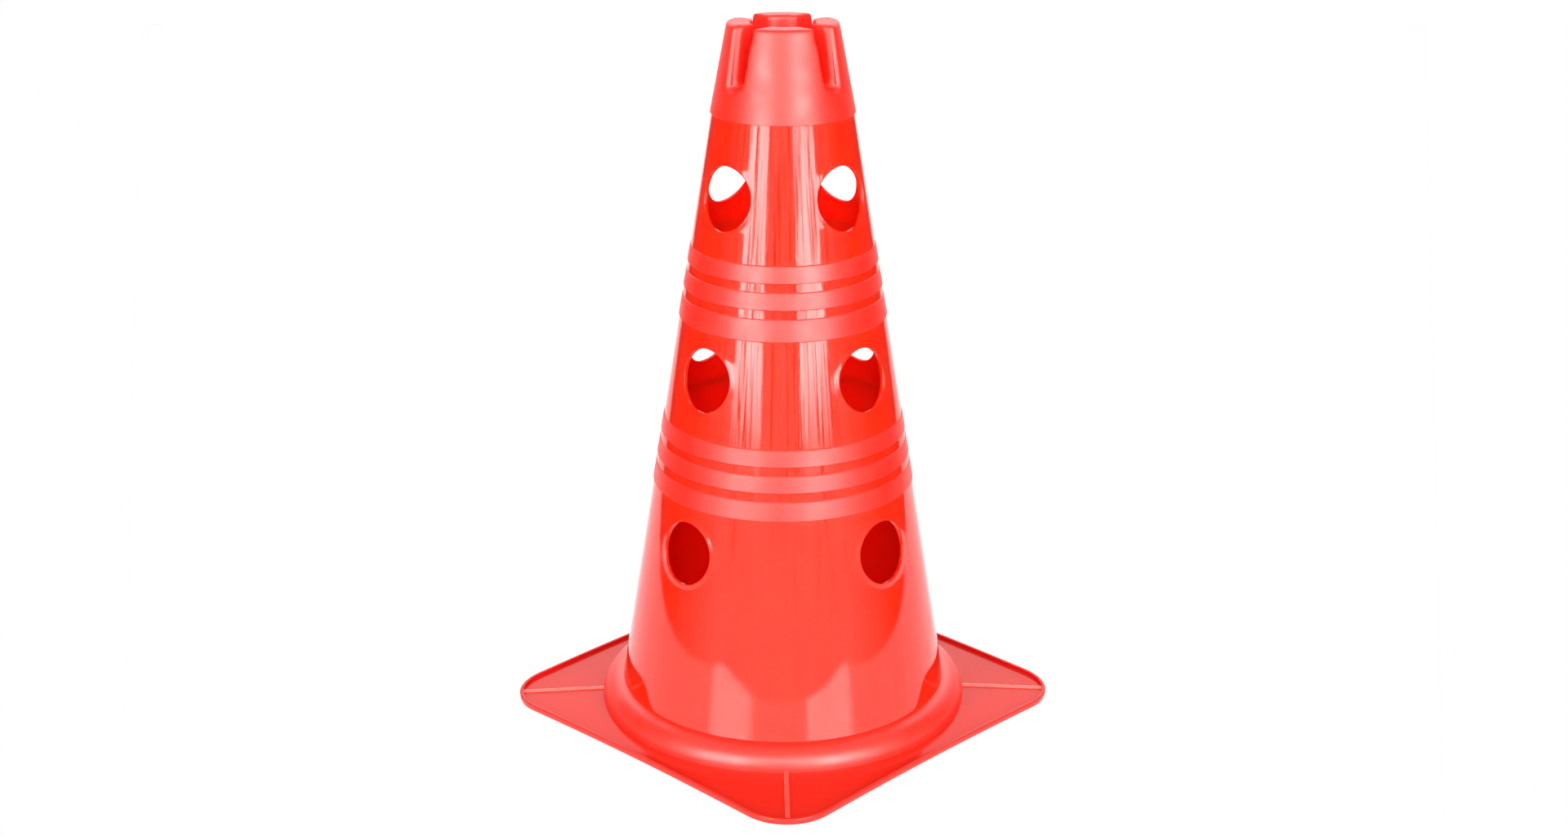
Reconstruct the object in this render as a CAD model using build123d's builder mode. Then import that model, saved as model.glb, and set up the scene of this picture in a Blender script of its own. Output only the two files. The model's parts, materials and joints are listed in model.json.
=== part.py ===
"""Sports marker cone: a thin red plastic cone on a square foot.

Three rows of four round holes take poles laid from cone to cone, and four slots in
the top take hoops, with a socket between the four prongs for an upright pole. The
real cone is one moulding, so its solids are the zones of that moulding: they meet
face to face along its own lines, which are the foot's crease, the edges of the raised
bands, the collar's lip and the four mould lines that run up the corners.

Frame: +Z up, origin on the floor under the middle of the foot, the foot's sides along
X and Y, the pole holes and the slots along X and Y, and the prongs on the diagonals.
"""
import os
from math import cos, radians, sin, sqrt
from build123d import *

# Walls, in millimetres
wall = 2.0                   # thickness of the moulding
neck_r = 37.05               # outer radius of the wall just below the collar
crease_r = 89.47             # outer radius of the wall at the crease above the bead

# Foot: plate, rim, ribs and bead
plate_root = 3.8             # plate's top above the floor, beside the bead
plate_tip = 1.5              # plate's top above the floor, at the corners
plate_edge = 10.4            # least width of plate between the bead and the rim
rim_width = 2.0
rim_rise = 1.8               # rim's top above the plate
rim_round = 0.8
foot_corner_r = 29.0         # outer corner radius of the foot
rib_width = 2.0
rib_rise = 0.7
rib_round = 0.4
bead_r = 11.6                # rounding of the bead's back
bead_shoulder = 0.3          # upright strip between the plate and the bead's rounding

# Pole holes and bands, stacked from the floor up
lower_row_z = 108.3          # height of the lowest holes
pole_hole_r = 16.6
hole_to_band_above = 7.8
hole_to_band_below = 14.0
hole_to_collar = 22.3
band_height = 9.2
groove_height = 4.3
lower_end_band = 10.4        # lowest band of the lower group
upper_end_band = 11.8        # lowest band of the upper group
band_raise = 0.5             # bands stand out of the wall by this much

# Collar, slots, prongs and pole socket
collar_height = 46.6         # from the collar's lip to the top of the prongs
collar_lip = 0.75            # collar stands out of the wall by this much
tip_r = 28.8                 # outer radius of the prongs at their tops
slot_width = 8.8
slot_depth = 31.0            # from the prong tops to the slots' round floor
lip_round = 3.6              # outer edges of the slots, up the prongs and round the floors
prong_heel_round = 3.6       # inner edges of each prong, beside the socket
prong_top_round = 3.4
socket_r = 16.8              # pole socket between the prongs
socket_depth = 13.0          # socket's full ring below the slots' floor

# Heights that follow from the stack
bead_centre_z = plate_root + bead_shoulder
bead_top_z = bead_centre_z + bead_r
lower_bands_z = lower_row_z + pole_hole_r + hole_to_band_above
lower_bands_top_z = lower_bands_z + lower_end_band + 2 * (groove_height + band_height)
middle_row_z = lower_bands_top_z + hole_to_band_below + pole_hole_r
upper_bands_z = middle_row_z + pole_hole_r + hole_to_band_above
upper_bands_top_z = upper_bands_z + upper_end_band + 2 * (groove_height + band_height)
upper_row_z = upper_bands_top_z + hole_to_band_below + pole_hole_r
collar_z = upper_row_z + pole_hole_r + hole_to_collar
height = collar_z + collar_height
slot_floor_z = height - slot_depth
prong_root_z = slot_floor_z + slot_width / 2
socket_z = slot_floor_z - socket_depth


def wall_r(z):
    """Outer radius of the conical wall at height z."""
    return neck_r + (crease_r - neck_r) * (collar_z - z) / (collar_z - bead_top_z)


def collar_r(z):
    """Outer radius of the collar and prongs at height z."""
    return tip_r + (neck_r + collar_lip - tip_r) * (height - z) / collar_height


# Radii and the foot's outline that follow
bead_outer_r = crease_r + bead_r
plate_half = bead_outer_r + plate_edge
foot_half = plate_half + rim_width
plate_corner_r = foot_corner_r - rim_width
corner_reach = sqrt(2) * (plate_half - plate_corner_r) + plate_corner_r
plate_fall = (plate_root - plate_tip) / (corner_reach - bead_outer_r)
far_r = sqrt(2) * foot_half
side_names = ("right", "back", "left", "front")
corner_names = ("back_right", "back_left", "front_left", "front_right")


def plate_z(r):
    """Height of the plate's top, which falls gently from the bead to the corners."""
    return plate_root - plate_fall * (r - bead_outer_r)


os.makedirs("parts", exist_ok=True)

# Base plate: a square ring round the bead, with a top that falls towards the corners
with BuildPart() as base_plate:
    with BuildSketch(Plane.XZ):
        with BuildLine():
            Polyline(
                (bead_outer_r, 0),
                (far_r, 0),
                (far_r, plate_z(far_r)),
                (bead_outer_r, plate_z(bead_outer_r)),
                close=True,
            )
        make_face()
    revolve(axis=Axis.Z)
    with BuildSketch():
        RectangleRounded(2 * plate_half, 2 * plate_half, plate_corner_r)
    extrude(amount=plate_root, mode=Mode.INTERSECT)
base_plate.part.label = "base_plate"
export_step(base_plate.part, "parts/base_plate.step")

# Rim: a rounded wall round the plate, standing above it by the same amount all the way
with BuildPart() as base_rim:
    with BuildSketch(Plane.XZ):
        with BuildLine():
            Polyline(
                (bead_outer_r, 0),
                (far_r, 0),
                (far_r, plate_z(far_r) + rim_rise),
                (bead_outer_r, plate_z(bead_outer_r) + rim_rise),
                close=True,
            )
        make_face()
    revolve(axis=Axis.Z)
    with BuildSketch():
        RectangleRounded(2 * foot_half, 2 * foot_half, foot_corner_r)
        RectangleRounded(2 * plate_half, 2 * plate_half, plate_corner_r, mode=Mode.SUBTRACT)
    extrude(amount=plate_root + rim_rise, mode=Mode.INTERSECT)
    rim_top = base_rim.faces().filter_by(GeomType.CONE)
    fillet(rim_top.edges(), min(rim_round, 0.45 * rim_width))
base_rim.part.label = "base_rim"
export_step(base_rim.part, "parts/base_rim.step")

# Corner ribs: a low round-backed rib down the plate from the bead to each corner of the rim
rib_run = corner_reach - bead_outer_r
rib_start = Plane(
    origin=(bead_outer_r * cos(radians(45)), bead_outer_r * sin(radians(45)), plate_root),
    x_dir=(-1, 1, 0),
    z_dir=(cos(radians(45)) * rib_run, sin(radians(45)) * rib_run, plate_tip - plate_root),
)
with BuildPart() as rib_pattern:
    with BuildSketch(rib_start) as rib_section:
        Rectangle(rib_width, 2 * rib_rise)
        rib_back = rib_section.vertices().group_by(Axis.Y)[-1]
        fillet(rib_back, min(rib_round, 0.45 * rib_width))
    extrude(amount=rib_run + rib_width)
    extrude(rib_section.sketch, amount=-rib_width)
    add(base_plate.part, mode=Mode.SUBTRACT)
    with BuildSketch():
        RectangleRounded(2 * plate_half, 2 * plate_half, plate_corner_r)
        Circle(bead_outer_r, mode=Mode.SUBTRACT)
    extrude(amount=plate_root + 2 * rib_rise, mode=Mode.INTERSECT)

for turn, corner in enumerate(corner_names):
    with BuildPart() as corner_rib:
        with Locations(Rotation(0, 0, 90 * turn)):
            add(rib_pattern.part)
    corner_rib.part.label = f"corner_rib_{corner}"
    export_step(corner_rib.part, f"parts/corner_rib_{corner}.step")

# Foot bead: a hollow quarter-round ring between the wall and the plate
with BuildPart() as foot_bead:
    with BuildSketch(Plane.XZ):
        with BuildLine():
            Line((crease_r - wall, bead_top_z), (crease_r, bead_top_z))
            CenterArc((crease_r, bead_centre_z), bead_r, 0, 90)
            Line((bead_outer_r, bead_centre_z), (bead_outer_r, 0))
            Line((bead_outer_r, 0), (bead_outer_r - wall, 0))
            Line((bead_outer_r - wall, 0), (bead_outer_r - wall, bead_centre_z))
            CenterArc((crease_r, bead_centre_z), bead_r - wall, 0, 90)
            Line((crease_r, bead_top_z - wall), (crease_r - wall, bead_top_z - wall))
            Line((crease_r - wall, bead_top_z - wall), (crease_r - wall, bead_top_z))
        make_face()
    revolve(axis=Axis.Z)
foot_bead.part.label = "foot_bead"
export_step(foot_bead.part, "parts/foot_bead.step")

# Wall panels: in each row, four quarters of the cone that meet on the corner mould lines,
# each with one level pole hole through its middle
wall_rows = {
    "lower_wall": (bead_top_z, lower_bands_z, lower_row_z),
    "middle_wall": (lower_bands_top_z, upper_bands_z, middle_row_z),
    "upper_wall": (upper_bands_top_z, collar_z, upper_row_z),
}
mould_line = Plane(origin=(0, 0, 0), x_dir=(cos(radians(45)), -sin(radians(45)), 0),
                   z_dir=(-sin(radians(45)), -cos(radians(45)), 0))
for row, (bottom_z, top_z, hole_z) in wall_rows.items():
    with BuildPart() as panel_pattern:
        with BuildSketch(mould_line):
            with BuildLine():
                Polyline(
                    (wall_r(bottom_z) - wall, bottom_z),
                    (wall_r(bottom_z), bottom_z),
                    (wall_r(top_z), top_z),
                    (wall_r(top_z) - wall, top_z),
                    close=True,
                )
            make_face()
        revolve(axis=Axis.Z, revolution_arc=90)
        with BuildSketch(Plane.YZ):
            with Locations((0, hole_z)):
                Circle(pole_hole_r)
        extrude(amount=wall_r(bottom_z), mode=Mode.SUBTRACT)
    for turn, side in enumerate(side_names):
        with BuildPart() as wall_panel:
            with Locations(Rotation(0, 0, 90 * turn)):
                add(panel_pattern.part)
        wall_panel.part.label = f"{row}_{side}"
        export_step(wall_panel.part, f"parts/{row}_{side}.step")

# Band groups: rings of the wall with three raised bands and two grooves between them
band_groups = {
    "lower_bands": (lower_bands_z, lower_end_band),
    "upper_bands": (upper_bands_z, upper_end_band),
}
for group, (bottom_z, end_band) in band_groups.items():
    edges_z = [bottom_z, bottom_z + end_band]
    for band in range(2):
        edges_z.append(edges_z[-1] + groove_height)
        edges_z.append(edges_z[-1] + band_height)
    top_z = edges_z[-1]
    outline = [(wall_r(top_z) - wall, top_z), (wall_r(bottom_z) - wall, bottom_z)]
    for low_z, high_z in zip(edges_z[0::2], edges_z[1::2]):
        outline.append((wall_r(low_z), low_z))
        outline.append((wall_r(low_z) + band_raise, low_z))
        outline.append((wall_r(high_z) + band_raise, high_z))
        outline.append((wall_r(high_z), high_z))
    with BuildPart() as band_ring:
        with BuildSketch(Plane.XZ):
            with BuildLine():
                Polyline(*outline, close=True)
            make_face()
        revolve(axis=Axis.Z)
    band_ring.part.label = group
    export_step(band_ring.part, f"parts/{group}.step")

# Top collar: the ring below the prongs, with the slots' round floors crossing it, hollow
# under them, and the ring of the pole socket in the middle
with BuildPart() as collar_hollow:
    with BuildSketch(Plane.XZ):
        with BuildLine():
            Polyline(
                (0, collar_z),
                (wall_r(collar_z) - wall, collar_z),
                (collar_r(prong_root_z) - wall, prong_root_z),
                (0, prong_root_z),
                close=True,
            )
        make_face()
    revolve(axis=Axis.Z)
    for slot_plane in (Plane.YZ, Plane.XZ):
        with BuildSketch(slot_plane):
            with Locations((0, prong_root_z)):
                Circle(slot_width / 2 + wall)
        extrude(amount=neck_r, both=True, mode=Mode.SUBTRACT)
    with BuildSketch(Plane.XY.offset(socket_z)):
        Circle(socket_r + wall)
    extrude(amount=prong_root_z - socket_z, mode=Mode.SUBTRACT)

with BuildPart() as top_collar:
    with BuildSketch(Plane.XZ):
        with BuildLine():
            Polyline(
                (0, collar_z),
                (collar_r(collar_z), collar_z),
                (collar_r(prong_root_z), prong_root_z),
                (0, prong_root_z),
                close=True,
            )
        make_face()
    revolve(axis=Axis.Z)
    for slot_plane in (Plane.YZ, Plane.XZ):
        with BuildSketch(slot_plane):
            with Locations((0, prong_root_z)):
                Circle(slot_width / 2)
        extrude(amount=far_r, both=True, mode=Mode.SUBTRACT)
    collar_face = top_collar.faces().filter_by(GeomType.CONE)
    floor_lips = collar_face.edges().filter_by(lambda e: e.bounding_box().size.Z > slot_width / 4)
    fillet(floor_lips, lip_round)
    add(collar_hollow.part, mode=Mode.SUBTRACT)
    with BuildSketch(Plane.XY.offset(collar_z)):
        Circle(socket_r)
    extrude(amount=collar_height, mode=Mode.SUBTRACT)
top_collar.part.label = "top_collar"
export_step(top_collar.part, "parts/top_collar.step")

# Prongs: four hollow fingers between the slots, hollowed towards the axis for the pole
with BuildPart() as prong_hollow:
    with BuildSketch(Plane.XZ):
        with BuildLine():
            Polyline(
                (0, prong_root_z),
                (collar_r(prong_root_z) - wall, prong_root_z),
                (collar_r(height) - wall, height - wall),
                (0, height - wall),
                close=True,
            )
        make_face()
    revolve(axis=Axis.Z)
    with BuildSketch(Plane.XY.offset(prong_root_z)) as hollow_plan:
        hollow_side = slot_width / 2 + wall
        with Locations((hollow_side, hollow_side)):
            Rectangle(neck_r, neck_r, align=(Align.MIN, Align.MIN))
        Circle(socket_r + wall, mode=Mode.SUBTRACT)
        fillet(hollow_plan.vertices().sort_by_distance((0, 0))[:2], prong_heel_round - wall)
    extrude(amount=slot_depth, mode=Mode.INTERSECT)

with BuildPart() as prong_pattern:
    with BuildSketch(Plane.XZ):
        with BuildLine():
            Polyline(
                (0, prong_root_z),
                (collar_r(prong_root_z), prong_root_z),
                (collar_r(height), height),
                (0, height),
                close=True,
            )
        make_face()
    revolve(axis=Axis.Z)
    with BuildSketch(Plane.XY.offset(prong_root_z)) as prong_plan:
        with Locations((slot_width / 2, slot_width / 2)):
            Rectangle(neck_r, neck_r, align=(Align.MIN, Align.MIN))
        Circle(socket_r, mode=Mode.SUBTRACT)
        fillet(prong_plan.vertices().sort_by_distance((0, 0))[:2], prong_heel_round)
    extrude(amount=slot_depth, mode=Mode.INTERSECT)
    outer_face = prong_pattern.faces().filter_by(GeomType.CONE)
    fillet(outer_face.edges().filter_by(lambda e: abs(e.tangent_at(0.5).Z) > 0.5), lip_round)
    fillet(prong_pattern.faces().sort_by(Axis.Z)[-1].edges(), prong_top_round)
    add(prong_hollow.part, mode=Mode.SUBTRACT)

for turn, corner in enumerate(corner_names):
    with BuildPart() as prong:
        with Locations(Rotation(0, 0, 90 * turn)):
            add(prong_pattern.part)
    prong.part.label = f"prong_{corner}"
    export_step(prong.part, f"parts/prong_{corner}.step")

print(f"height {height:.1f}, foot {2 * foot_half:.1f} square, bead {2 * bead_outer_r:.1f} across,",
      f"rows at {lower_row_z:.1f} {middle_row_z:.1f} {upper_row_z:.1f}, collar from {collar_z:.1f}")
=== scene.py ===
import json
from math import atan2, cos, exp, hypot, pi, radians, sin, sqrt

import bmesh
import bpy
from mathutils import Matrix, Vector


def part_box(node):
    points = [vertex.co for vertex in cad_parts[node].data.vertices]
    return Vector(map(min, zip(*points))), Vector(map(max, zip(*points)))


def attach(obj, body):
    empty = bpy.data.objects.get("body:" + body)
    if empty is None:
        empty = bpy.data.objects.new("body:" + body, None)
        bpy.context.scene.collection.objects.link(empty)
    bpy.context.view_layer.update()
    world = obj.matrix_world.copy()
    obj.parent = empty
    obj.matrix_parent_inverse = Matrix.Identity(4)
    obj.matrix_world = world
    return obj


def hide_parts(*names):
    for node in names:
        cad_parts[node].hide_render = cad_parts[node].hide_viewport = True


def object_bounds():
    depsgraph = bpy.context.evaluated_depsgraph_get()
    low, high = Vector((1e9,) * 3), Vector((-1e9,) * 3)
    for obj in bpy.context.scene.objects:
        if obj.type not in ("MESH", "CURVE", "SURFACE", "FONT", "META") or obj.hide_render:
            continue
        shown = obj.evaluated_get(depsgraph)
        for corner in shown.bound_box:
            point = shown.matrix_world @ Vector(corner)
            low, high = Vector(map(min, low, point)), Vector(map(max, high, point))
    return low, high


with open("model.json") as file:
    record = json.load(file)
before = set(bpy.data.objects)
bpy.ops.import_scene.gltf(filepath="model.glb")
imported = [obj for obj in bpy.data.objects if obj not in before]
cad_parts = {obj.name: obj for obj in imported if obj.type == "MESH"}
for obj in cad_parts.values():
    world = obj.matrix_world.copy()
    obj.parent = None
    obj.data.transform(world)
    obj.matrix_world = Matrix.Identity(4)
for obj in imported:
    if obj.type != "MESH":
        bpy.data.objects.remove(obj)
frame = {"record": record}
cad_low, cad_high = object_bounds()
bpy.ops.object.select_all(action="DESELECT")

# Foot plate: the square flange that the cone stands on, moulded in one with the wall in gloss red
# polyethylene. It is 1.5 mm thick and falls from the bead to the corners, so the four corners carry the cone.
plate_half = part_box("base_plate")[1].x
plate_root_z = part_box("base_plate")[1].z
plate_thickness = 0.0015
foot_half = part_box("base_rim")[1].x
foot_corner_r = 0.029
rim_width = foot_half - plate_half
bead_outer_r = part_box("foot_bead")[1].x
corner_reach = (foot_half - foot_corner_r) * sqrt(2) + foot_corner_r
plate_fall = (plate_root_z - plate_thickness) / (corner_reach - bead_outer_r)
plate_tuck = 0.0012
plate_loops = 12
foot_steps = 360
smooth_angle = radians(32)


def plate_top(reach):
    """Height of the plate's top at that distance from the cone's middle."""
    return plate_root_z - plate_fall * (reach - bead_outer_r)


def square_reach(angle, inset):
    """Distance from the middle to the foot's round-cornered outline, moved in by inset."""
    half = foot_half - inset
    round_r = foot_corner_r - inset
    along, across = abs(cos(angle)), abs(sin(angle))
    if across > along:
        along, across = across, along
    middle = half - round_r
    if across * half / along <= middle:
        return half / along
    ahead = middle * (along + across)
    return ahead + sqrt(ahead * ahead - 2 * middle * middle + round_r * round_r)


def lay_loop(piece, step, place):
    """Draws a new loop out of the selected one, after the first step, and puts its points where place(angle)
    says, by their angle round the cone's middle."""
    if step:
        bpy.ops.mesh.extrude_edges_move()
    mesh = bmesh.from_edit_mesh(piece.data)
    for vert in mesh.verts:
        if vert.select:
            vert.co = place(atan2(vert.co.y, vert.co.x))
    bmesh.update_edit_mesh(piece.data)


def ring_start(name, steps, radius):
    """A new ring of points, open in edit mode with all of them selected."""
    bpy.ops.object.select_all(action="DESELECT")
    bpy.ops.mesh.primitive_circle_add(vertices=steps, radius=radius)
    piece = bpy.context.object
    piece.name = name
    piece.data.name = name
    bpy.ops.object.mode_set(mode="EDIT")
    bpy.ops.mesh.select_all(action="SELECT")
    return piece


def apply_modifier(piece, kind, **settings):
    """Adds one modifier with these settings and applies it."""
    modifier = piece.modifiers.new(kind.title(), kind)
    for key, value in settings.items():
        setattr(modifier, key, value)
    bpy.ops.object.modifier_apply(modifier=modifier.name)


def dress(piece, finish, slot, *nodes):
    """Smooth shading, material and frame calls of a finished piece."""
    bpy.ops.object.select_all(action="DESELECT")
    piece.select_set(True)
    bpy.context.view_layer.objects.active = piece
    bpy.ops.object.shade_smooth_by_angle(angle=smooth_angle)
    if not piece.data.materials:
        piece.data.materials.append(finish)
    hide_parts(*nodes)
    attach(piece, "root")


def moulded_red(name, colour, roughness, shine, glow=0.0, drag=0.0, peel=0.0, grain=0.0, seams=()):
    """Red polyethylene as the mould leaves it. Shine is its IOR, glow the share of light that passes through
    the wall, drag the depth of fine lines up the cone, peel of slow waves and grain of the spark finish.
    Seams are the heights where two pieces of the one moulding meet, and there light stays on the surface."""
    finish = bpy.data.materials.new(name)
    finish.use_nodes = True
    nodes = finish.node_tree.nodes
    link = finish.node_tree.links.new
    skin = nodes["Principled BSDF"]
    skin.inputs["IOR"].default_value = shine
    skin.inputs["Subsurface Weight"].default_value = glow
    skin.inputs["Subsurface Radius"].default_value = (1.0, 0.06, 0.04)
    skin.inputs["Subsurface Scale"].default_value = 0.005
    where = nodes.new("ShaderNodeTexCoord").outputs["Object"]

    def noise(vector, scale, detail):
        texture = nodes.new("ShaderNodeTexNoise")
        texture.inputs["Scale"].default_value = scale
        texture.inputs["Detail"].default_value = detail
        link(vector, texture.inputs["Vector"])
        return texture.outputs["Fac"]

    def remap(value, low, high, to_low, to_high):
        span = nodes.new("ShaderNodeMapRange")
        span.inputs["From Min"].default_value = low
        span.inputs["From Max"].default_value = high
        span.inputs["To Min"].default_value = to_low
        span.inputs["To Max"].default_value = to_high
        link(value, span.inputs["Value"])
        return span.outputs["Result"]

    def count(operation, *values):
        step = nodes.new("ShaderNodeMath")
        step.operation = operation
        for socket, value in zip(step.inputs, values):
            if isinstance(value, float):
                socket.default_value = value
            else:
                link(value, socket)
        return step.outputs["Value"]

    def vector_sum(operation, first, second):
        step = nodes.new("ShaderNodeVectorMath")
        step.operation = operation
        link(first, step.inputs[0])
        if isinstance(second, tuple):
            step.inputs[1].default_value = second
        elif second:
            link(second, step.inputs[1])
        return step.outputs["Vector"]

    def press(height, depth, below):
        bump = nodes.new("ShaderNodeBump")
        bump.inputs["Strength"].default_value = 1.0
        bump.inputs["Distance"].default_value = depth
        link(height, bump.inputs["Height"])
        if below:
            link(below, bump.inputs["Normal"])
        return bump.outputs["Normal"]

    tint_drift = (0.03, 0.16, 0.16)
    gloss_drift = 0.2
    cloud_scale, haze_scale = 34.0, 90.0
    tint = nodes.new("ShaderNodeMix")
    tint.data_type = "RGBA"
    deep = [share * (1 - drift) for share, drift in zip(colour, tint_drift)]
    light = [min(share * (1 + drift), 1.0) for share, drift in zip(colour, tint_drift)]
    tint.inputs["A"].default_value = (*deep, 1.0)
    tint.inputs["B"].default_value = (*light, 1.0)
    link(noise(where, cloud_scale, 4.0), tint.inputs["Factor"])
    link(tint.outputs["Result"], skin.inputs["Base Color"])
    smooth, rough = roughness * (1 - gloss_drift), roughness * (1 + gloss_drift)
    link(remap(noise(where, haze_scale, 6.0), 0.25, 0.75, smooth, rough), skin.inputs["Roughness"])

    split = nodes.new("ShaderNodeSeparateXYZ")
    link(where, split.inputs[0])
    if seams:
        seam_start, seam_end = 0.0003, 0.0022
        nearest = 1.0
        for seam in seams:
            gap = count("ABSOLUTE", count("SUBTRACT", split.outputs["Z"], seam))
            nearest = count("MINIMUM", nearest, gap)
        link(remap(nearest, seam_start, seam_end, 0.0, glow), skin.inputs["Subsurface Weight"])

    normal = None
    if drag:
        line_scale, patch_scale, wave_scale = 42.0, 9.0, 110.0
        line_stretch, line_dimming = 0.25, -0.44
        faint_z, plain_z, faint_share = 0.09, 0.17, 0.2
        plain_specular = 0.5
        facing = vector_sum("NORMALIZE", vector_sum("MULTIPLY", where, (1.0, 1.0, 0.0)), None)
        streak = vector_sum("ADD", facing, vector_sum("MULTIPLY", where, (0.0, 0.0, line_stretch)))
        spread = count("ABSOLUTE", count("SUBTRACT", noise(streak, line_scale, 1.0), 0.5))
        line = remap(spread, 0.02, 0.075, line_dimming, 0.0)
        shown = remap(noise(streak, patch_scale, 2.0), 0.32, 0.48, 0.0, 1.0)
        height_share = remap(split.outputs["Z"], faint_z, plain_z, faint_share, 1.0)
        shown = count("MULTIPLY", shown, height_share)
        link(count("MULTIPLY_ADD", line, shown, plain_specular), skin.inputs["Specular IOR Level"])
        normal = press(noise(streak, wave_scale, 3.0), drag, None)
    peel_scale, grain_scale = 75.0, 2600.0
    if peel:
        normal = press(noise(where, peel_scale, 2.0), peel, normal)
    if grain:
        normal = press(noise(where, grain_scale, 2.0), grain, normal)
    if normal:
        link(normal, skin.inputs["Normal"])
    return finish


# The plate's red is darker than the wall's, though it is the same plastic: painted shade. The rim uses it
# too.
gloss_plate_painted_shade = moulded_red("gloss_plate_painted_shade_red", (0.74, 0.024, 0.012), roughness=0.1, shine=1.43, peel=0.00003)

plate = ring_start("foot_plate", foot_steps, bead_outer_r - plate_tuck)
for step in range(plate_loops + 1):
    share = step / plate_loops

    def plate_place(angle):
        inner = bead_outer_r - plate_tuck
        reach = inner + (square_reach(angle, rim_width) - inner) * share
        return reach * cos(angle), reach * sin(angle), plate_top(reach)

    lay_loop(plate, step, plate_place)
bpy.ops.mesh.select_all(action="SELECT")
bpy.ops.mesh.normals_make_consistent(inside=False)
if bmesh.from_edit_mesh(plate.data).faces[:][0].normal.z < 0:
    bpy.ops.mesh.flip_normals()
bpy.ops.object.mode_set(mode="OBJECT")
apply_modifier(plate, "SOLIDIFY", thickness=plate_thickness, offset=-1.0)
dress(plate, gloss_plate_painted_shade, "gloss_red", "base_plate")

# Rim: a low rounded lip all round the plate's edge that keeps the thin flange flat. It is part of the same
# moulding, 2 mm wide and 1.8 mm above the plate. Its inner side is a deeper red: painted shade.
rim_rise = 0.0018
rim_round = 0.0006
round_steps = 5
rim_inner_facing = -0.6

rim_section = [(rim_width, -plate_thickness)]
for step in range(round_steps + 1):
    turn = pi / 2 * step / round_steps
    rim_section.append((rim_width - rim_round * (1 - cos(turn)), rim_rise - rim_round * (1 - sin(turn))))
for step in range(round_steps + 1):
    turn = pi / 2 * step / round_steps
    rim_section.append((rim_round * (1 - sin(turn)), rim_rise - rim_round * (1 - cos(turn))))
rim_section.append((0.0, rim_round - plate_thickness))
rim_section.append((rim_round / 2, -plate_thickness))

rim = ring_start("foot_rim", foot_steps, foot_half)
for step, (inset, rise) in enumerate(rim_section):

    def rim_place(angle):
        reach = square_reach(angle, inset)
        base = plate_top(square_reach(angle, rim_width))
        return reach * cos(angle), reach * sin(angle), max(base + rise, 0.0)

    lay_loop(rim, step, rim_place)
bpy.ops.mesh.select_all(action="DESELECT")
bpy.ops.mesh.select_non_manifold()
bpy.ops.mesh.bridge_edge_loops()
bpy.ops.mesh.select_all(action="SELECT")
bpy.ops.mesh.normals_make_consistent(inside=False)
bpy.ops.object.mode_set(mode="OBJECT")
# Deeper red on the rim's inner faces: painted shade, not a colour of the plastic.
painted_shade_rim = moulded_red("painted_shade_rim_red", (0.52, 0.006, 0.008), roughness=0.12, shine=1.5)
rim.data.materials.append(gloss_plate_painted_shade)
rim.data.materials.append(painted_shade_rim)
for face in rim.data.polygons:
    outward = Vector((face.center.x, face.center.y, 0.0)).normalized()
    face.material_index = 1 if face.normal.dot(outward) < rim_inner_facing else 0
dress(rim, gloss_plate_painted_shade, "gloss_red", "base_rim")

# Corner ribs: four low straight ridges from the bead to the rim's corners, which stiffen the plate. They are
# moulded on it, 2.6 mm wide and 1 mm high with round backs, in a lighter red that is a painted highlight.
rib_half_width = 0.0013
rib_rise = 0.001
rib_round = 0.0008
rib_sink = 0.0005
rib_near = bead_outer_r - plate_tuck
rib_lap = 0.0003
rib_far = corner_reach - rim_width + rib_lap
rib_corners = {"back_right": 45, "back_left": 135, "front_left": 225, "front_right": 315}

# Lighter red than the plate: a painted highlight along the ribs' round backs.
painted_highlight_rib = moulded_red("painted_highlight_rib_red", (0.97, 0.11, 0.08), roughness=0.3, shine=1.6)

bpy.ops.object.select_all(action="DESELECT")
bpy.ops.mesh.primitive_cube_add(size=2.0)
rib = bpy.context.object
bpy.ops.object.mode_set(mode="EDIT")
ridge = bmesh.from_edit_mesh(rib.data)
for vert in ridge.verts:
    reach = rib_far if vert.co.x > 0 else rib_near
    rise = rib_rise if vert.co.z > 0 else -rib_sink
    vert.co = reach, vert.co.y * rib_half_width, plate_top(reach) + rise
for edge in ridge.edges:
    ends = [plate_top(vert.co.x) + rib_rise / 2 < vert.co.z for vert in edge.verts]
    edge.select_set(all(ends) and abs(edge.verts[0].co.y - edge.verts[1].co.y) < rib_sink)
bmesh.update_edit_mesh(rib.data)
bpy.ops.mesh.bevel(offset=rib_round, segments=4, affect="EDGES")
bpy.ops.object.mode_set(mode="OBJECT")
for corner, turn in rib_corners.items():
    ridge_copy = rib.copy()
    ridge_copy.data = rib.data.copy()
    ridge_copy.name = "rib_" + corner
    ridge_copy.data.name = ridge_copy.name
    ridge_copy.data.transform(Matrix.Rotation(radians(turn), 4, "Z"))
    bpy.context.collection.objects.link(ridge_copy)
    dress(ridge_copy, painted_highlight_rib, "satin_red", "corner_rib_" + corner)
bpy.data.objects.remove(rib)

# Bead: the quarter-round swelling where the wall meets the plate. It is moulded hollow, with the same 2 mm
# wall as the cone, and has the finer satin finish of the bands and the top.
wall = 0.002
crease_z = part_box("foot_bead")[1].z
crease_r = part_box("lower_wall_right")[1].x
bead_r = bead_outer_r - crease_r
bead_middle_z = crease_z - bead_r
bead_steps = 20
turn_steps = 256


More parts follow.
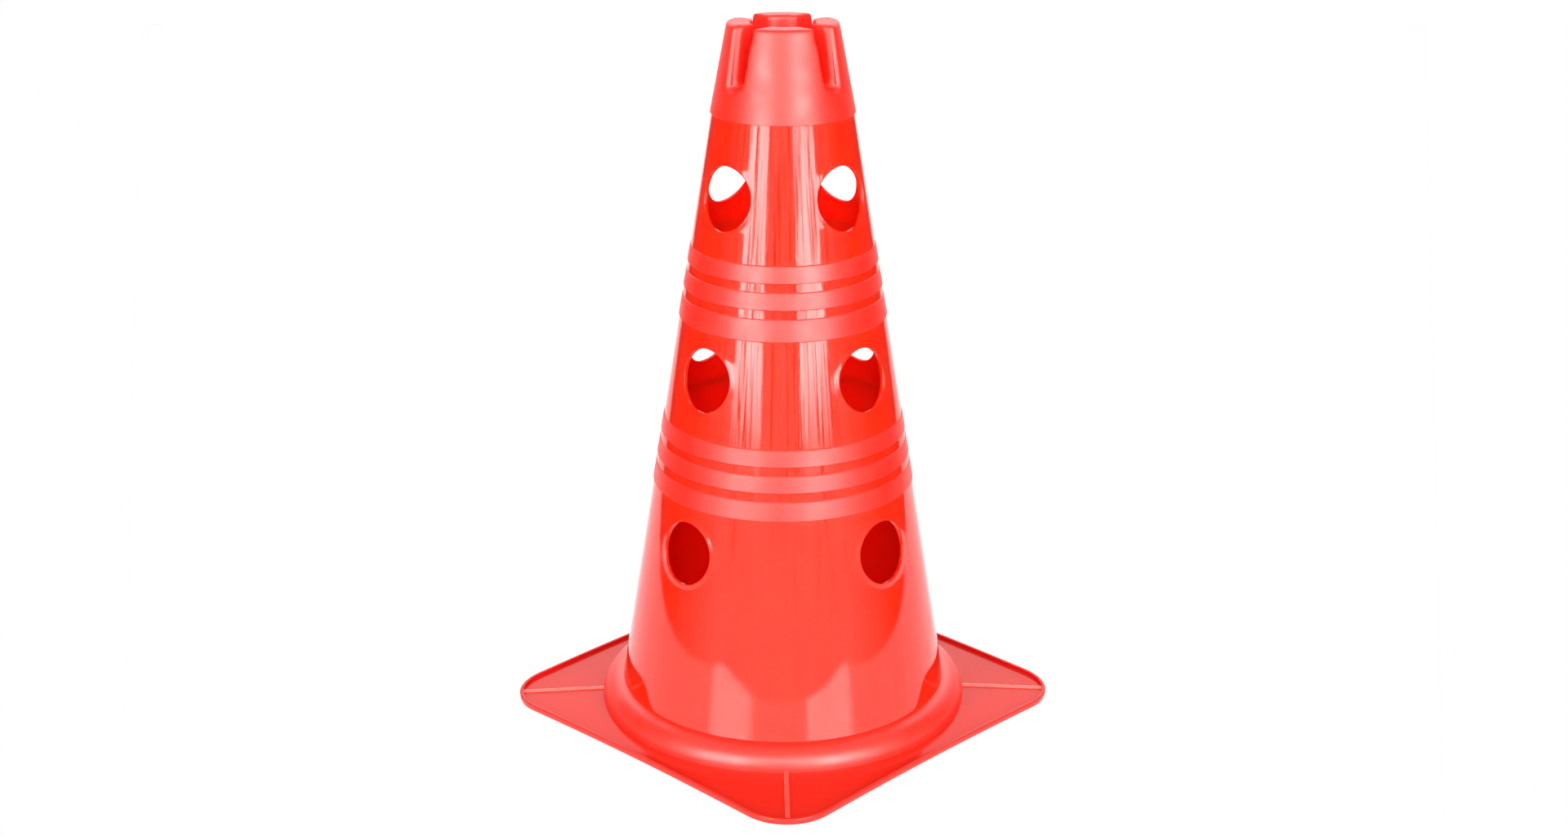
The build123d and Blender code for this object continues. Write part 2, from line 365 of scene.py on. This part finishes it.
def turned(name, outline, steps):
    """A closed outline of (radius, height) points, spun round the cone's middle."""
    piece = ring_start(name, len(outline), 1.0)
    section = bmesh.from_edit_mesh(piece.data)
    section.verts.ensure_lookup_table()
    for vert, (radius, height) in zip(section.verts, outline):
        vert.co = radius, 0.0, height
    bmesh.update_edit_mesh(piece.data)
    bpy.ops.mesh.spin(steps=steps, angle=2 * pi, center=(0, 0, 0), axis=(0, 0, 1))
    bpy.ops.mesh.select_all(action="SELECT")
    bpy.ops.mesh.remove_doubles(threshold=0.00001)
    bpy.ops.mesh.normals_make_consistent(inside=False)
    bpy.ops.object.mode_set(mode="OBJECT")
    return piece


satin_bead = moulded_red("satin_bead_red", (0.95, 0.022, 0.01), roughness=0.4, shine=1.72,
                         peel=0.00002, grain=0.000003)

bead_foot_z = plate_root_z - plate_thickness
bead_outline = [(bead_outer_r, bead_foot_z)]
for step in range(bead_steps + 1):
    turn = pi / 2 * step / bead_steps
    bead_outline.append((crease_r + bead_r * cos(turn), bead_middle_z + bead_r * sin(turn)))
bead_outline.append((crease_r - wall, crease_z))
bead_outline.append((crease_r - wall, crease_z - wall))
for step in range(bead_steps, -1, -1):
    turn = pi / 2 * step / bead_steps
    bead_outline.append((crease_r + (bead_r - wall) * cos(turn), bead_middle_z + (bead_r - wall) * sin(turn)))
bead_outline.append((bead_outer_r - wall, bead_foot_z))
bead = turned("foot_bead_round", bead_outline, turn_steps)
dress(bead, satin_bead, "satin_red", "foot_bead")

# Walls: the plain stretches of the cone below, between and above the bands, 2 mm thick in polished gloss red.
# Each has four round pole holes with a slightly swollen lip, because the plastic is drawn out with the pins.
mounts = {mount["name"]: mount for mount in frame["record"]["mounts"]}
hole_r = mounts["lower_pole_x"]["dims"]["r_mm"] / 1000
hole_round = 0.00035
hole_inner_round = 0.0003
hole_swell = 0.00045
hole_swell_reach = 0.002
hole_edge_reach = 0.0008
hole_edge_angle = radians(50)
skin_reach = wall / 2.2
lip_rings = (0.0005, 0.0009, 0.0013, 0.0018, 0.0024, 0.0032, 0.0045)
panel_rings = 15
side_points = 40
wall_fall = (crease_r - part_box("upper_wall_right")[1].x) / (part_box("upper_wall_right")[0].z - crease_z)
wall_seams = [crease_z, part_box("top_collar")[0].z]
for group in ("lower", "upper"):
    wall_seams.extend(corner.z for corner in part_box(group + "_bands"))
signal_red = (0.97, 0.021, 0.004)
gloss_wall = moulded_red("gloss_wall_red", signal_red, roughness=0.06, shine=1.58, glow=1.0,
                         drag=0.00001, peel=0.00003, seams=wall_seams)
satin_inside = moulded_red("satin_inside_red", signal_red, roughness=0.8, shine=1.15, glow=1.0,
                           seams=wall_seams)


def wall_radius(height):
    """Outer radius of the cone's wall at that height."""
    return crease_r - wall_fall * (height - crease_z)


def wall_ring(name, nodes, hole_z):
    """One stretch of wall: a quarter drawn out from its pole hole to its edges, turned four times."""
    low_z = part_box(nodes[0])[0].z
    high_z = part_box(nodes[0])[1].z
    low_turn = atan2(hole_z - low_z, wall_radius(low_z) / sqrt(2))
    high_turn = atan2(high_z - hole_z, wall_radius(high_z) / sqrt(2))
    corners = (-low_turn, high_turn, pi - high_turn, pi + low_turn, 2 * pi - low_turn)
    spokes = []
    for first, last in zip(corners, corners[1:]):
        spokes.extend(first + (last - first) * step / side_points for step in range(side_points))

    def edge_reach(turn):
        side = abs(cos(turn)) + wall_fall * sin(turn) / sqrt(2)
        reach = wall_radius(hole_z) / sqrt(2) / side if side > 0 else 1.0
        if sin(turn) > 0:
            return min(reach, (high_z - hole_z) / sin(turn))
        if sin(turn) < 0:
            return min(reach, (low_z - hole_z) / sin(turn))
        return reach

    def on_wall(turn, reach):
        across, height = reach * cos(turn), hole_z + reach * sin(turn)
        radius = wall_radius(height) + hole_swell * exp(-((reach - hole_r) / hole_swell_reach) ** 2)
        return sqrt(radius * radius - across * across), across, height

    piece = ring_start(name, len(spokes), hole_r)
    reaches = [lambda turn: hole_r]
    for out in lip_rings:
        reaches.append(lambda turn, out=out: hole_r + out)
    lip = hole_r + lip_rings[-1]
    for step in range(1, panel_rings + 1):
        reaches.append(lambda turn, share=step / panel_rings: lip + (edge_reach(turn) - lip) * share)
    for step, reach in enumerate(reaches):
        if step:
            bpy.ops.mesh.extrude_edges_move()
        mesh = bmesh.from_edit_mesh(piece.data)
        mesh.verts.ensure_lookup_table()
        for vert in mesh.verts:
            if vert.select:
                turn = spokes[vert.index] if step == 0 else atan2(vert.co.z - hole_z, vert.co.y)
                vert.co = on_wall(turn, reach(turn))
        bmesh.update_edit_mesh(piece.data)
    bpy.ops.mesh.select_all(action="SELECT")
    bpy.ops.mesh.spin(steps=3, dupli=True, angle=radians(270), center=(0, 0, 0), axis=(0, 0, 1))
    bpy.ops.mesh.select_all(action="SELECT")
    bpy.ops.mesh.remove_doubles(threshold=0.00002)
    bpy.ops.mesh.normals_make_consistent(inside=False)
    mesh = bmesh.from_edit_mesh(piece.data)
    mesh.faces.ensure_lookup_table()
    middle = mesh.faces[0].calc_center_median()
    if mesh.faces[0].normal.dot(Vector((middle.x, middle.y, 0))) < 0:
        bpy.ops.mesh.flip_normals()
    bpy.ops.object.mode_set(mode="OBJECT")
    piece.data.materials.append(gloss_wall)
    piece.data.materials.append(satin_inside)
    apply_modifier(piece, "SOLIDIFY", thickness=wall, offset=-1.0, use_even_offset=True, material_offset=1)

    for depth, bevel_r, segments in ((0.0, hole_round, 6), (wall, hole_inner_round, 2)):
        bpy.ops.object.mode_set(mode="EDIT")
        bpy.ops.mesh.select_mode(type="EDGE")
        bpy.ops.mesh.select_all(action="DESELECT")
        mesh = bmesh.from_edit_mesh(piece.data)
        for edge in mesh.edges:
            middle = (edge.verts[0].co + edge.verts[1].co) / 2
            off_axis = min(hypot(middle.x, middle.z - hole_z), hypot(middle.y, middle.z - hole_z))
            skin = abs(hypot(middle.x, middle.y) - wall_radius(middle.z) + depth)
            ends = [abs(hypot(v.co.x, v.co.y) - wall_radius(v.co.z) + depth) for v in edge.verts]
            sharp = len(edge.link_faces) == 2 and edge.calc_face_angle() > hole_edge_angle
            on_skin = max(skin, *ends) < skin_reach
            edge.select_set(sharp and on_skin and off_axis < hole_r + hole_edge_reach)
        bmesh.update_edit_mesh(piece.data)
        bpy.ops.mesh.bevel(offset=bevel_r, segments=segments, affect="EDGES")
        bpy.ops.mesh.select_mode(type="VERT")
        bpy.ops.object.mode_set(mode="OBJECT")
    dress(piece, gloss_wall, "gloss_red", *nodes)


for row in ("lower", "middle", "upper"):
    row_nodes = [f"{row}_wall_{side}" for side in ("right", "back", "left", "front")]
    wall_ring(f"{row}_wall_ring", row_nodes, mounts[f"{row}_pole_x"]["pos_m"][2])

# Bands: two groups of three raised hoops round the cone, parted by narrow grooves. They are part of the wall,
# half a millimetre proud, with a satin finish, and the grooves between them keep the wall's polish.
band_height = 0.0092
groove_height = 0.0043
band_raise = 0.0005
satin_red = (0.97, 0.018, 0.006)
satin_band = moulded_red("satin_band_red", satin_red, roughness=0.41, shine=1.72, glow=1.0,
                         peel=0.00002, grain=0.000004, seams=wall_seams)

for group in ("lower", "upper"):
    low_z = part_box(group + "_bands")[0].z
    high_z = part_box(group + "_bands")[1].z
    band_outline = [(wall_radius(low_z) - wall, low_z)]
    foot_z = low_z
    end_height = high_z - low_z - 2 * (band_height + groove_height)
    for height in (end_height, band_height, band_height):
        head_z = foot_z + height
        band_outline.append((wall_radius(foot_z), foot_z))
        band_outline.append((wall_radius(foot_z) + band_raise, foot_z + band_raise))
        band_outline.append((wall_radius(head_z) + band_raise, head_z - band_raise))
        band_outline.append((wall_radius(head_z), head_z))
        foot_z = head_z + groove_height
    band_outline.append((wall_radius(high_z) - wall, high_z))
    bands = turned(group + "_band_hoops", band_outline, turn_steps)
    bands.data.materials.append(satin_band)
    bands.data.materials.append(gloss_wall)
    bands.data.materials.append(satin_inside)
    for face in bands.data.polygons:
        rise = hypot(face.center.x, face.center.y) - wall_radius(face.center.z)
        face.material_index = 0 if rise > band_raise / 4 else 1 if rise > -wall / 2 else 2
    dress(bands, satin_band, "satin_red", group + "_bands")

# Collar with its posts: the top of the cone, a lip wider than the wall. Crossed slots for hoops leave four
# posts round a socket for an upright pole. It is the same moulding in satin finish. The front and back posts
# have crisp slot edges, those at the sides full round lips with a fine slit where the mould closes.
collar_low_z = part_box("top_collar")[0].z
collar_low_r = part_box("top_collar")[1].x
cone_top_z = cad_high.z
post_top_r = 0.0288
socket_r = mounts["top_pole_socket"]["dims"]["r_mm"] / 1000
socket_low_z = mounts["top_pole_socket"]["pos_m"][2] - mounts["top_pole_socket"]["dims"]["length_mm"] / 2000
slot_floor_z = 0.349
slot_root_z = 0.3534
slot_root_half = 0.0042
slot_mouth_half = 0.0056
slot_shift = 0.0005
lip_leg = 0.005
lip_low_z = 0.348
lip_turns = ((0, 1), (90, -1), (180, 1), (270, -1))
collar_seam_z = 0.343
web_z = slot_floor_z - wall
remesh_grid = 0.0005
collar_edge = 0.00025
post_steps = 192
socket_steps = 96
slot_round_steps = 16
slot_start = -0.05
slot_length = 0.042
lip_over = 0.006
lip_behind = -0.004
top_soft_z = (0.344, 0.346)
post_soft_z = (0.371, 0.3745)
lip_soft_z = (0.3445, 0.347)
lip_soft_slot = (0.016, 0.011)
lip_soft_skin = (0.012, 0.008)
true_round_z = (0.345, 0.3485)
top_rounds = 24
lip_rounds = 60
satin_top = moulded_red("satin_top_red", satin_red, roughness=0.41, shine=1.62, glow=0.4,
                        peel=0.00002, grain=0.000004)


def collar_radius(height):
    """Outer radius of the collar and of the posts at that height."""
    return collar_low_r + (post_top_r - collar_low_r) * (height - collar_low_z) / (cone_top_z - collar_low_z)


def fade(value, start, end):
    """Soft step from 0 at start to 1 at end."""
    share = min(max((value - start) / (end - start), 0.0), 1.0)
    return share * share * (3 - 2 * share)


def soften(piece, rounds, weigh):
    """Smooths the piece where weigh(point) says so."""
    group = piece.vertex_groups.new(name="soft")
    for vert in piece.data.vertices:
        group.add([vert.index], weigh(vert.co), "REPLACE")
    apply_modifier(piece, "SMOOTH", factor=0.5, iterations=rounds, vertex_group="soft")
    piece.vertex_groups.clear()


def whole_top(point):
    """Full above the collar's seam."""
    return fade(point.z, *top_soft_z)


def post_tops(point):
    """Full on the tops of the posts."""
    return fade(point.z, *post_soft_z)


def side_lips(point):
    """Full on the slot edges of the two posts at the sides, nothing on those at the front and back."""
    if point.x * point.y > 0:
        return 0.0
    slot_gap = min(abs(point.x), abs(point.y))
    skin_gap = collar_radius(point.z) - hypot(point.x, point.y)
    return fade(slot_gap, *lip_soft_slot) * fade(skin_gap, *lip_soft_skin) * fade(point.z, *lip_soft_z)


def cut_from(piece, tool, turn):
    """Turns a cutting tool round the cone's middle and takes its shape out of the piece."""
    tool.data.transform(Matrix.Rotation(radians(turn), 4, "Z"))
    bpy.ops.object.mode_set(mode="EDIT")
    bpy.ops.mesh.select_all(action="SELECT")
    bpy.ops.mesh.normals_make_consistent(inside=False)
    bpy.ops.object.mode_set(mode="OBJECT")
    bpy.context.view_layer.objects.active = piece
    apply_modifier(piece, "BOOLEAN", object=tool, operation="DIFFERENCE", solver="EXACT")
    bpy.data.objects.remove(tool)


start_z = collar_seam_z - wall
posts = turned("collar_and_posts", [
    (collar_radius(start_z) - wall, start_z), (collar_radius(start_z), start_z), (post_top_r, cone_top_z),
    (socket_r, cone_top_z), (socket_r, start_z), (socket_r + wall, start_z), (socket_r + wall, web_z),
    (collar_radius(web_z) - wall, web_z)], post_steps)
slot_outline = [(slot_mouth_half, cone_top_z + wall)]
for step in range(slot_round_steps + 1):
    turn = pi * step / slot_round_steps
    slot_outline.append((slot_root_half * cos(turn), slot_root_z - (slot_root_z - slot_floor_z) * sin(turn)))
slot_outline.append((-slot_mouth_half, cone_top_z + wall))
for way, shift in ((0, -slot_shift), (90, slot_shift), (180, -slot_shift), (270, slot_shift)):
    slot_tool = ring_start("slot_tool", len(slot_outline), 1.0)
    profile = bmesh.from_edit_mesh(slot_tool.data)
    profile.verts.ensure_lookup_table()
    for vert, (across, height) in zip(profile.verts, slot_outline):
        vert.co = slot_start, across + shift, height
    bmesh.update_edit_mesh(slot_tool.data)
    bpy.ops.mesh.edge_face_add()
    bpy.ops.mesh.extrude_region_move(TRANSFORM_OT_translate={"value": (slot_length, 0, 0)})
    bpy.ops.object.mode_set(mode="OBJECT")
    cut_from(posts, slot_tool, way)
for turn, side in lip_turns:
    bpy.ops.object.select_all(action="DESELECT")
    bpy.ops.mesh.primitive_cube_add(size=2.0)
    lip_tool = bpy.context.object
    for vert in lip_tool.data.vertices:
        height = cone_top_z + wall if vert.co.z > 0 else lip_low_z
        share = (height - slot_root_z) / (cone_top_z + wall - slot_root_z)
        edge = slot_root_half + (slot_mouth_half - slot_root_half) * share - slot_shift
        out = (collar_radius(height) - edge - lip_leg) / sqrt(2) + (lip_over if vert.co.x > 0 else 0.0)
        along = (collar_radius(height) + edge) / sqrt(2) + (lip_over if vert.co.y > 0 else lip_behind)
        vert.co = side * (along - out) / sqrt(2), -(along + out) / sqrt(2), height
    cut_from(posts, lip_tool, turn)
apply_modifier(posts, "REMESH", mode="VOXEL", voxel_size=remesh_grid)
soften(posts, top_rounds, whole_top)
soften(posts, lip_rounds, lambda point: max(post_tops(point), side_lips(point)))
soften(posts, lip_rounds, side_lips)
for vert in posts.data.vertices:
    radius = hypot(vert.co.x, vert.co.y)
    if radius > collar_radius(vert.co.z) - wall / 2:
        share = 1 - fade(vert.co.z, *true_round_z)
        grow = 1 + share * (collar_radius(vert.co.z) / radius - 1)
        vert.co = vert.co.x * grow, vert.co.y * grow, vert.co.z
bpy.ops.object.mode_set(mode="EDIT")
bpy.ops.mesh.select_all(action="SELECT")
bpy.ops.mesh.bisect(plane_co=(0, 0, collar_seam_z), plane_no=(0, 0, 1), clear_inner=True)
bpy.ops.object.mode_set(mode="OBJECT")

slit_out = (0.0311, 0.0286)
slit_heights = (0.3505, 0.368)
slit_halves = (0.00034, 0.00008)
slit_side = 0.0062
slit_depth = 0.0022
for turn, side in lip_turns:
    bpy.ops.object.select_all(action="DESELECT")
    bpy.ops.mesh.primitive_cube_add(size=2.0)
    slit_tool = bpy.context.object
    for vert in slit_tool.data.vertices:
        end = 1 if vert.co.z > 0 else 0
        inward = slit_depth if vert.co.x < 0 else -slit_depth
        half = slit_halves[end] * (1 if vert.co.y > 0 else -1)
        out = slit_out[end] - inward * sqrt(0.5) + half * sqrt(0.5)
        across = slit_side + inward * sqrt(0.5) + half * sqrt(0.5)
        vert.co = side * across, -out, slit_heights[end]
    cut_from(posts, slit_tool, turn)

collar_ring = turned("collar_ring", [
    (collar_low_r - collar_edge, collar_low_z), (collar_low_r, collar_low_z + collar_edge),
    (collar_radius(collar_seam_z), collar_seam_z), (collar_radius(collar_seam_z) - wall, collar_seam_z),
    (collar_low_r - wall, collar_low_z)], turn_steps)
socket_ring = turned("socket_ring", [
    (socket_r, socket_low_z), (socket_r + wall, socket_low_z), (socket_r + wall, collar_seam_z),
    (socket_r, collar_seam_z)], socket_steps)
bpy.ops.object.select_all(action="DESELECT")
for part in (collar_ring, socket_ring, posts):
    part.select_set(True)
bpy.context.view_layer.objects.active = posts
bpy.ops.object.join()
dress(posts, satin_top, "satin_red", "top_collar", *["prong_" + corner for corner in rib_corners])

# Table: a white glossy sheet under the cone, narrow in front and wide behind. Rays that look at it find it
# white, and it keeps the cone's shadow. It belongs to the studio, as all that follows does.
camera_turn = radians(224.07)
table_front = 0.346
table_front_half = 0.28
table_back = 2.2
table_back_half = 0.95
table_shade = 0.45
table_white = 0.72


def from_camera(turn, reach, height):
    """A point at that turn round the cone from the camera's side, positive to the picture's right."""
    angle = camera_turn + radians(turn)
    return Vector((reach * cos(angle), reach * sin(angle), height))


def looked_at(tree):
    """One for camera, glossy and transmission rays, and nothing for light that falls on other things."""
    path = tree.nodes.new("ShaderNodeLightPath")
    looked = path.outputs["Is Camera Ray"]
    for kind in ("Is Glossy Ray", "Is Transmission Ray"):
        either = tree.nodes.new("ShaderNodeMath")
        either.operation = "MAXIMUM"
        tree.links.new(looked, either.inputs[0])
        tree.links.new(path.outputs[kind], either.inputs[1])
        looked = either.outputs["Value"]
    return looked


ahead = from_camera(0, 1, 0)
right = from_camera(90, 1, 0)
bpy.ops.object.select_all(action="DESELECT")
bpy.ops.mesh.primitive_plane_add(size=2.0)
table = bpy.context.object
table.name = "table"
bpy.ops.object.mode_set(mode="EDIT")
top = bmesh.from_edit_mesh(table.data)
for vert in top.verts:
    forward = table_front if vert.co.y > 0 else -table_back
    half = table_front_half if vert.co.y > 0 else table_back_half
    vert.co = ahead * forward + right * (half if vert.co.x > 0 else -half)
bpy.ops.mesh.normals_make_consistent(inside=False)
bmesh.update_edit_mesh(table.data)
bpy.ops.object.mode_set(mode="OBJECT")

white_sheet = bpy.data.materials.new("white_table")
white_sheet.use_nodes = True
sheet_nodes, sheet_link = white_sheet.node_tree.nodes, white_sheet.node_tree.links.new
sheet_skin = sheet_nodes["Principled BSDF"]
sheet_skin.inputs["Base Color"].default_value = (table_shade, table_shade, table_shade, 1.0)
sheet_skin.inputs["Roughness"].default_value = 0.26
sheet_skin.inputs["Emission Color"].default_value = (1.0, 1.0, 1.0, 1.0)
sheet_white = sheet_nodes.new("ShaderNodeMath")
sheet_white.operation = "MULTIPLY"
sheet_link(looked_at(white_sheet.node_tree), sheet_white.inputs[0])
sheet_white.inputs[1].default_value = table_white
sheet_link(sheet_white.outputs["Value"], sheet_skin.inputs["Emission Strength"])
table.data.materials.append(white_sheet)

# Cards: two dark sheets that stand along the sides and thin out towards the camera, as a net does. Only
# reflections see them, so the sides of the cone keep a deep red.
card_side = 1.0
card_front = 0.85
card_dense = 0.0
card_back = 2.6
card_low_z = -1.0
card_high_z = 1.2
dark_card = bpy.data.materials.new("dark_card")
dark_card.use_nodes = True
card_nodes, card_link = dark_card.node_tree.nodes, dark_card.node_tree.links.new
card_skin = card_nodes["Principled BSDF"]
card_skin.inputs["Base Color"].default_value = (0.03, 0.03, 0.03, 1.0)
card_skin.inputs["Roughness"].default_value = 0.9
card_along = card_nodes.new("ShaderNodeVectorMath")
card_along.operation = "DOT_PRODUCT"
card_link(card_nodes.new("ShaderNodeTexCoord").outputs["Object"], card_along.inputs[0])
card_along.inputs[1].default_value = ahead
card_fade = card_nodes.new("ShaderNodeMapRange")
card_link(card_along.outputs["Value"], card_fade.inputs["Value"])
card_fade.inputs["From Min"].default_value = card_dense
card_fade.inputs["From Max"].default_value = card_front
card_blend = card_nodes.new("ShaderNodeMixShader")
card_link(card_fade.outputs["Result"], card_blend.inputs["Fac"])
card_link(card_skin.outputs["BSDF"], card_blend.inputs[1])
card_link(card_nodes.new("ShaderNodeBsdfTransparent").outputs["BSDF"], card_blend.inputs[2])
card_link(card_blend.outputs["Shader"], card_nodes["Material Output"].inputs["Surface"])
for name, side in (("left_card", -card_side), ("right_card", card_side)):
    bpy.ops.object.select_all(action="DESELECT")
    bpy.ops.mesh.primitive_plane_add(size=2.0)
    card = bpy.context.object
    card.name = name
    for vert in card.data.vertices:
        forward = card_front if vert.co.y > 0 else -card_back
        height = card_high_z if vert.co.x > 0 else card_low_z
        vert.co = ahead * forward + right * side + Vector((0, 0, height))
    card.data.materials.append(dark_card)
    card.visible_camera = False
    card.visible_diffuse = False
    card.visible_transmission = False
    card.visible_shadow = False

# Soft boxes: two tall ones either side of the camera draw the pale streaks up the wall, one hangs over the
# camera, and two weak ones fill in from behind.


def soft_box(name, turn, reach, low, high, width, brightness, soft_foot=0.0, aim_z=None):
    """A soft box that stands at that turn from the camera and faces the cone's middle. The lowest part of its
    cloth, soft_foot of its height, fades out."""
    lamp = bpy.data.lights.new(name, "AREA")
    lamp.shape = "RECTANGLE"
    lamp.size = width
    lamp.size_y = high - low
    lamp.energy = brightness * width * (high - low) * pi
    if soft_foot:
        lamp.use_nodes = True
        cloth = lamp.node_tree.nodes
        on_cloth = cloth.new("ShaderNodeSeparateXYZ")
        lamp.node_tree.links.new(cloth.new("ShaderNodeNewGeometry").outputs["Parametric"], on_cloth.inputs[0])
        level = cloth.new("ShaderNodeMapRange")
        level.interpolation_type = "SMOOTHSTEP"
        level.inputs["From Max"].default_value = soft_foot
        lamp.node_tree.links.new(on_cloth.outputs["Y"], level.inputs["Value"])
        lamp.node_tree.links.new(level.outputs["Result"], cloth["Emission"].inputs["Strength"])
    box = bpy.data.objects.new(name, lamp)
    box.location = from_camera(turn, reach, (low + high) / 2)
    target = Vector((0, 0, box.location.z if aim_z is None else aim_z))
    box.rotation_mode = "QUATERNION"
    box.rotation_quaternion = (target - box.location).to_track_quat("-Z", "Y")
    box.visible_camera = False
    bpy.context.collection.objects.link(box)


soft_box("key_left", turn=-35.5, reach=1.6, low=0.04, high=1.25, width=0.82, brightness=9.2, soft_foot=0.16)
soft_box("key_right", turn=31.5, reach=1.6, low=0.04, high=1.25, width=0.88, brightness=9.2, soft_foot=0.16)
soft_box("top_front", turn=0, reach=1.4, low=0.68, high=1.15, width=0.8, brightness=4.2, aim_z=0.15)
soft_box("fill_left", turn=-150, reach=1.8, low=1.2, high=2.1, width=1.2, brightness=0.8, aim_z=0.2)
soft_box("fill_right", turn=150, reach=1.8, low=1.2, high=2.1, width=1.2, brightness=0.8, aim_z=0.2)

# Room: white for the rays that look at it. The light that it sends is soft, a little stronger from the
# camera's side and strongest low behind the cone, where it shines through the plastic into the holes.
front_light = 0.7
side_light = 0.34
back_light = 12.0
back_facing = -0.7
overhead_from, overhead_to = 0.2, 0.7
overhead_share = 0.15
room = bpy.data.worlds.new("room")
room.use_nodes = True
bpy.context.scene.world = room
room_nodes, room_link = room.node_tree.nodes, room.node_tree.links.new


def room_math(operation, first, second):
    """A sum of two values over the room's directions."""
    step = room_nodes.new("ShaderNodeMath")
    step.operation = operation
    room_link(first, step.inputs[0])
    room_link(second, step.inputs[1])
    return step.outputs["Value"]


def room_span(value, low, high, to_low, to_high):
    """A value over the room's directions, carried from one range to another."""
    span = room_nodes.new("ShaderNodeMapRange")
    span.inputs["From Min"].default_value = low
    span.inputs["From Max"].default_value = high
    span.inputs["To Min"].default_value = to_low
    span.inputs["To Max"].default_value = to_high
    room_link(value, span.inputs["Value"])
    return span.outputs["Result"]


heading = room_nodes.new("ShaderNodeTexCoord").outputs["Generated"]
toward = room_nodes.new("ShaderNodeVectorMath")
toward.operation = "DOT_PRODUCT"
toward.inputs[1].default_value = ahead
room_link(heading, toward.inputs[0])
upward = room_nodes.new("ShaderNodeSeparateXYZ")
room_link(heading, upward.inputs[0])
from_front = room_span(toward.outputs["Value"], 0.0, 1.0, side_light, front_light)
from_back = room_span(toward.outputs["Value"], back_facing, -1.0, side_light, back_light)
from_above = room_span(upward.outputs["Z"], overhead_from, overhead_to, 1.0, overhead_share)
room_light = room_math("MULTIPLY", room_math("MAXIMUM", from_front, from_back), from_above)
room_white = room_nodes.new("ShaderNodeMix")
room_link(looked_at(room.node_tree), room_white.inputs["Factor"])
room_link(room_light, room_white.inputs["A"])
room_white.inputs["B"].default_value = 1.0
room_link(room_white.outputs["Result"], room_nodes["Background"].inputs["Strength"])
room_nodes["Background"].inputs["Color"].default_value = (1.0, 1.0, 1.0, 1.0)

# Camera: in front of one corner of the foot and higher than the cone's top. It looks down on the cone through
# a normal lens.
camera_reach = 1.1487
camera_height = 0.5754
camera_tilt = radians(19.66)
camera_yaw = radians(0.027)
camera = bpy.data.objects.new("camera", bpy.data.cameras.new("camera"))
camera.data.lens = 51.73
camera.data.sensor_width = 36.0
camera.data.sensor_fit = "HORIZONTAL"
camera.data.clip_start = 0.01
camera.location = from_camera(0, camera_reach, camera_height)
camera.rotation_euler = (pi / 2 - camera_tilt, 0.0, camera_turn - camera_yaw - 3 * pi / 2)
bpy.context.collection.objects.link(camera)
bpy.context.scene.camera = camera
bpy.context.scene.view_settings.view_transform = "Standard"
